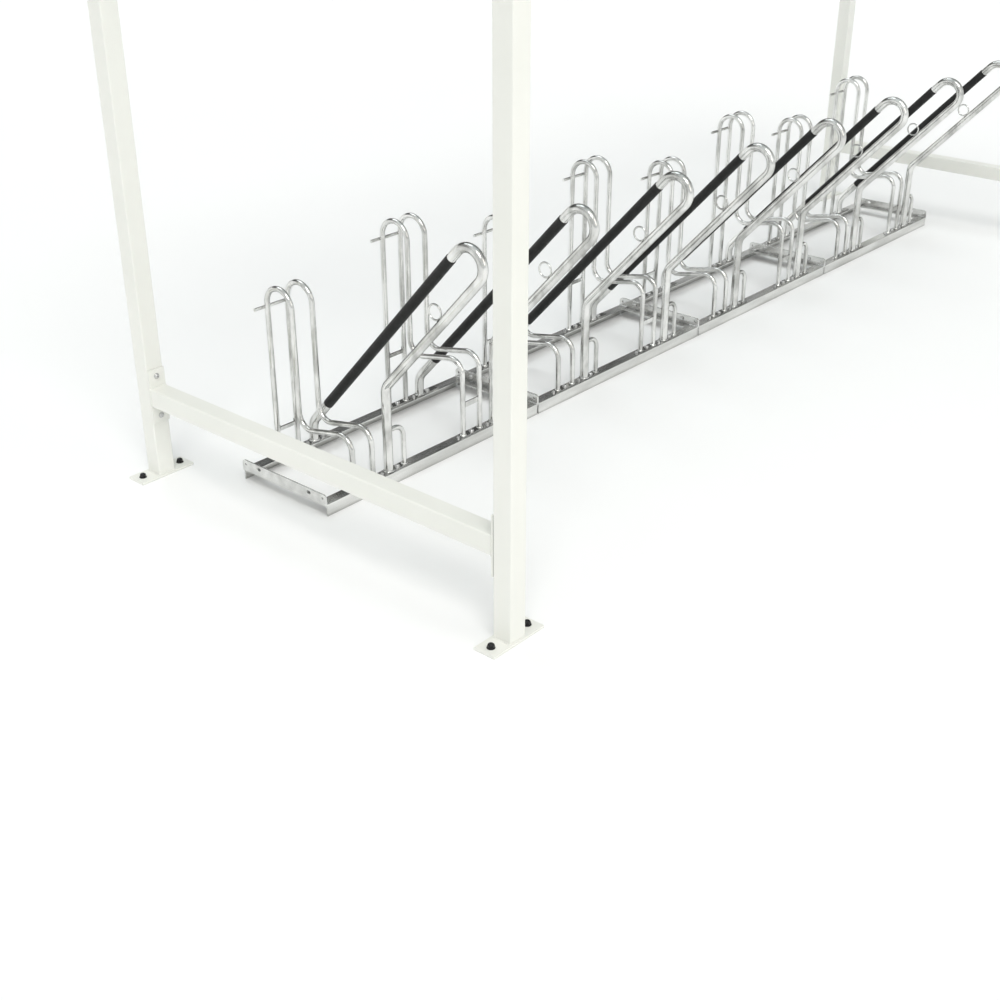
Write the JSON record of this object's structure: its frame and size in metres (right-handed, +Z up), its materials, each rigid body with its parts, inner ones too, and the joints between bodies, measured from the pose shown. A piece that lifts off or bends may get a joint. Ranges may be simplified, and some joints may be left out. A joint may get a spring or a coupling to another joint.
{
  "type": "bike shelter",
  "caption": "Open bike shelter: white square posts on base plates, low end rails and a clear sloping roof over a row of galvanised floor racks with lean bars.",
  "frame": {"origin": "on the ground under the middle of the roof", "axes": "+X along the row of racks, +Y to the back, +Z up; bicycles come in from -Y"},
  "size_m": [4.594, 2.2022, 2.358],
  "materials": {
    "white_coating": "satin powder coat",
    "clear_sheet": "clear polycarbonate",
    "mill_aluminium": "mill finish",
    "galvanised_angle": "hot-dip galvanised",
    "bright_zinc": "bright galvanised",
    "black_sleeve": "shrink sleeve"
  },
  "bodies": {
    "root": {"left_front_post": "white_coating", "left_back_post": "white_coating", "left_end_rail": "white_coating", "right_front_post": "white_coating", "right_back_post": "white_coating", "right_end_rail": "white_coating", "front_beam": "white_coating", "front_edge_channel": "mill_aluminium", "back_beam": "white_coating", "back_edge_channel": "mill_aluminium", "rafter_1": "white_coating", "rafter_2": "white_coating", "rafter_3": "white_coating", "rafter_4": "white_coating", "rafter_5": "white_coating", "roof_sheet_1": "clear_sheet", "roof_sheet_2": "clear_sheet", "roof_sheet_3": "clear_sheet", "roof_sheet_4": "clear_sheet", "roof_cover_strips": "mill_aluminium", "rack_1_base": "galvanised_angle", "rack_1_low_holder": "bright_zinc", "rack_1_low_lean_bar": "bright_zinc", "rack_1_high_holder": "bright_zinc", "rack_1_high_lean_bar": "bright_zinc", "rack_1_sleeves": "black_sleeve", "rack_2_base": "galvanised_angle", "rack_2_low_holder": "bright_zinc", "rack_2_low_lean_bar": "bright_zinc", "rack_2_high_holder": "bright_zinc", "rack_2_high_lean_bar": "bright_zinc", "rack_2_sleeves": "black_sleeve", "rack_3_base": "galvanised_angle", "rack_3_low_holder": "bright_zinc", "rack_3_low_lean_bar": "bright_zinc", "rack_3_high_holder": "bright_zinc", "rack_3_high_lean_bar": "bright_zinc", "rack_3_sleeves": "black_sleeve", "rack_4_base": "galvanised_angle", "rack_4_low_holder": "bright_zinc", "rack_4_low_lean_bar": "bright_zinc", "rack_4_high_holder": "bright_zinc", "rack_4_high_lean_bar": "bright_zinc", "rack_4_sleeves": "black_sleeve"}
  },
  "joints": []
}
